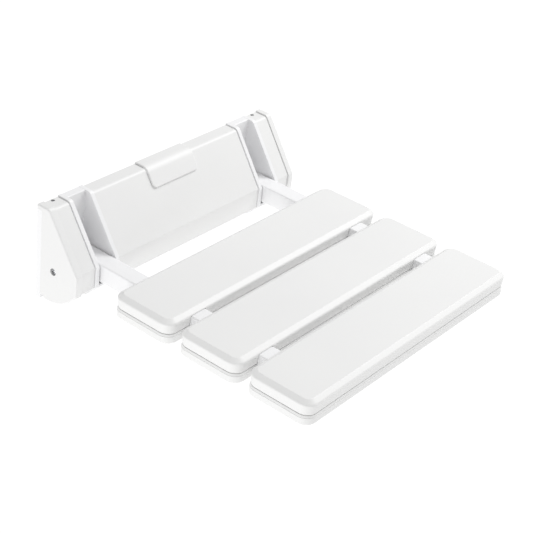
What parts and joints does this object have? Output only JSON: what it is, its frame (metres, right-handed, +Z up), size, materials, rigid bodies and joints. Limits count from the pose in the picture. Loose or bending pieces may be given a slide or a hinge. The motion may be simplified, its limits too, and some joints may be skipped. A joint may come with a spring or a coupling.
{
  "type": "folding shower seat",
  "caption": "Wall-mounted slatted shower seat whose two arms fold the seat up flat against a slim sloping wall housing.",
  "frame": {"origin": "on the wall plate's back face, midway along it and level with the top of the slats", "axes": "+Y into the wall, +Z up, +X to the right of someone facing the wall; the seat projects towards -Y"},
  "size_m": [0.33, 0.3365, 0.1039],
  "materials": {
    "white_abs": "satin white moulded ABS",
    "white_cover_abs": "satin white moulded ABS, fine spark-eroded texture",
    "coated_aluminium": "satin white powder coat on aluminium",
    "acetal": "natural acetal",
    "rubber": "grey rubber",
    "stainless_steel": "plain stainless steel"
  },
  "bodies": {
    "housing": {"bracket_screw_lower_left": "stainless_steel", "bracket_screw_lower_right": "stainless_steel", "bracket_screw_upper_left": "stainless_steel", "bracket_screw_upper_right": "stainless_steel", "cap_screw_left": "stainless_steel", "cap_screw_right": "stainless_steel", "centre_cover": "white_cover_abs", "cover_clip": "white_cover_abs", "end_cover_left": "white_cover_abs", "end_cover_right": "white_cover_abs", "end_plate_left": "white_cover_abs", "end_plate_right": "white_cover_abs", "hinge_bracket_left": "coated_aluminium", "hinge_bracket_right": "coated_aluminium", "pivot_pin_left": "stainless_steel", "pivot_pin_right": "stainless_steel", "pivot_spring_left": "stainless_steel", "pivot_spring_right": "stainless_steel", "side_screw_left": "stainless_steel", "side_screw_right": "stainless_steel", "stop_pad_left": "rubber", "stop_pad_right": "rubber", "wall_plate": "coated_aluminium"},
    "seat": {"arm_knuckle_left": "acetal", "arm_knuckle_right": "acetal", "arm_left": "coated_aluminium", "arm_plug_left": "acetal", "arm_plug_right": "acetal", "arm_right": "coated_aluminium", "pivot_bush_inner_left": "acetal", "pivot_bush_inner_right": "acetal", "pivot_bush_outer_left": "acetal", "pivot_bush_outer_right": "acetal", "slat_lower_back": "white_abs", "slat_lower_front": "white_abs", "slat_lower_middle": "white_abs", "slat_screw_back_1": "stainless_steel", "slat_screw_back_2": "stainless_steel", "slat_screw_back_3": "stainless_steel", "slat_screw_back_4": "stainless_steel", "slat_screw_front_1": "stainless_steel", "slat_screw_front_2": "stainless_steel", "slat_screw_front_3": "stainless_steel", "slat_screw_front_4": "stainless_steel", "slat_screw_middle_1": "stainless_steel", "slat_screw_middle_2": "stainless_steel", "slat_screw_middle_3": "stainless_steel", "slat_screw_middle_4": "stainless_steel", "slat_upper_back": "white_abs", "slat_upper_front": "white_abs", "slat_upper_middle": "white_abs"}
  },
  "joints": [
    {"name": "fold", "type": "hinge", "parent": "housing", "child": "seat", "pos_m": [0, -0.024, -0.01395], "axis": [-1, 0, 0], "range_deg": [0, 90]}
  ]
}
